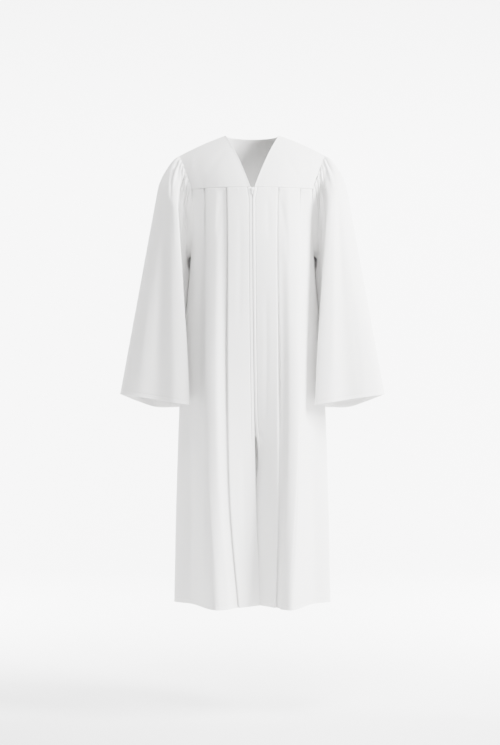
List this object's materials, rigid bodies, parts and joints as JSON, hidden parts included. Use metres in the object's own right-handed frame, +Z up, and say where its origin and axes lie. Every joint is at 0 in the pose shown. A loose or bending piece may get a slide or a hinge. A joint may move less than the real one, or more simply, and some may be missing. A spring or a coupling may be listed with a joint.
{
  "type": "choir robe",
  "caption": "Worn choir robe with a V neck, plain yokes, knife-pleated fronts and back, gathered bell sleeves and a centre-front zip whose pull tab swings; open at neck, cuffs and hem.",
  "frame": {"origin": "midway between the two points where the shoulder seams reach the neck, where the wearer's shoulders hold the robe", "axes": "+Z up, -Y the robe's front, +X the wearer's left"},
  "size_m": [0.6638, 0.3286, 1.1728],
  "materials": {
    "robe_cloth": "matte plain weave with a soft sheen",
    "zip_tape": "matte woven tape",
    "zip_plastic": "smooth moulded"
  },
  "bodies": {
    "robe": {"front_yoke_right": "robe_cloth", "front_yoke_left": "robe_cloth", "back_yoke": "robe_cloth", "front_right": "robe_cloth", "front_left": "robe_cloth", "back": "robe_cloth", "sleeve_right": "robe_cloth", "sleeve_left": "robe_cloth", "zip_tape_right": "zip_tape", "zip_tape_left": "zip_tape", "zip_chain": "zip_plastic", "zip_slider": "zip_plastic"},
    "pull_tab": {"zip_pull": "zip_plastic"}
  },
  "joints": [
    {"name": "pull_swing", "type": "hinge", "parent": "robe", "child": "pull_tab", "pos_m": [0.00002, -0.1159, -0.1464], "axis": [-1, 0, 0], "range_deg": [0, 150]}
  ]
}
